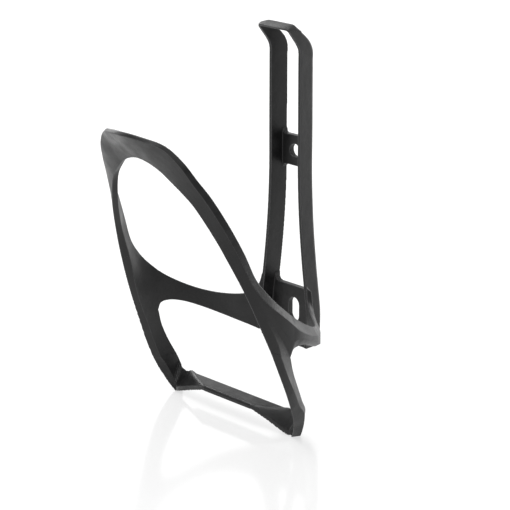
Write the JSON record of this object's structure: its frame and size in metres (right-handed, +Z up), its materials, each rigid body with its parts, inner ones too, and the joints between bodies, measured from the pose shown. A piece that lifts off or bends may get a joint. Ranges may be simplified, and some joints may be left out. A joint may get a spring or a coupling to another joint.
{
  "type": "water bottle cage",
  "caption": "Moulded plastic bicycle bottle cage: a sprung ring leaning out at the front, arms round to the spine, a flat foot under the bottle, and a hooked spine with a bolt hole and a slot.",
  "frame": {"origin": "middle of the base of the cage's bounding box, under the bottle, at the height of the toes", "axes": "+Z up along the bottle's axis, +Y towards the bicycle frame that the cage is bolted to, -Y towards the open front, X across the cage"},
  "size_m": [0.0794, 0.0882, 0.1495],
  "materials": {
    "moulding": "satin-matt black moulded plastic"
  },
  "bodies": {
    "root": {"crown": "moulding", "side_right": "moulding", "side_left": "moulding", "junction_right": "moulding", "junction_left": "moulding", "arm_right": "moulding", "arm_left": "moulding", "leg_right": "moulding", "leg_left": "moulding", "toe_right": "moulding", "toe_left": "moulding", "foot_web_right": "moulding", "foot_web_left": "moulding", "foot_bar": "moulding", "rail_right": "moulding", "rail_left": "moulding", "hook_rail_right": "moulding", "hook_rail_left": "moulding", "hook_bridge": "moulding", "upper_plate": "moulding", "lower_plate": "moulding"}
  },
  "joints": []
}
